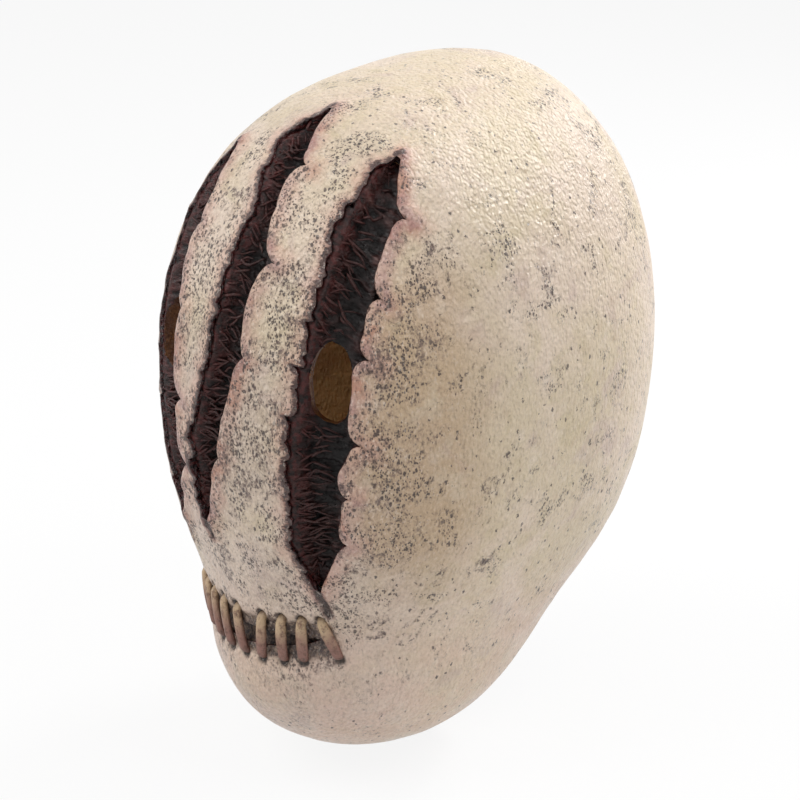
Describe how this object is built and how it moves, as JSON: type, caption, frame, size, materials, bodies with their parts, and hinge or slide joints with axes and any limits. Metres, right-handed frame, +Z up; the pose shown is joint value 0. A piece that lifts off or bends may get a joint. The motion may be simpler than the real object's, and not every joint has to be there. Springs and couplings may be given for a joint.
{
  "type": "latex halloween mask",
  "caption": "Full-head cast latex mask with a slanting neck opening, raking claw gashes over sunken torn-flesh liners, eye holes in the outer gashes and a mouth sewn shut with cord.",
  "frame": {"origin": "centre of the head cavity, where the middle of the wearer's head sits", "axes": "+X to the wearer's left, -Y out of the face, +Z up towards the crown; the wearer's head comes in along +Z, so the fitting axis of the head mount points down along -Z"},
  "size_m": [0.1686, 0.2127, 0.2822],
  "materials": {
    "latex_skin": "satin cast latex, painted mottled cream with pink, yellow-green and grey blushes and fine black spatter, pitted like orange peel",
    "torn_flesh": "glossy dark maroon-black fibrous latex with pinkish-grey glints on the strands",
    "mouth_backing": "dark grey-purple latex, rough and satin",
    "stitch_cord": "tan-brown latex-coated cord, smooth and slightly waxy, paler where it meets its upper hole"
  },
  "bodies": {
    "root": {"head_shell": "latex_skin", "gash_liner_right": "torn_flesh", "gash_liner_centre": "torn_flesh", "gash_liner_left": "torn_flesh", "mouth_liner": "mouth_backing", "mouth_stitch_1": "stitch_cord", "mouth_stitch_2": "stitch_cord", "mouth_stitch_3": "stitch_cord", "mouth_stitch_4": "stitch_cord", "mouth_stitch_5": "stitch_cord", "mouth_stitch_6": "stitch_cord", "mouth_stitch_7": "stitch_cord", "mouth_stitch_8": "stitch_cord", "mouth_stitch_9": "stitch_cord"}
  },
  "joints": []
}
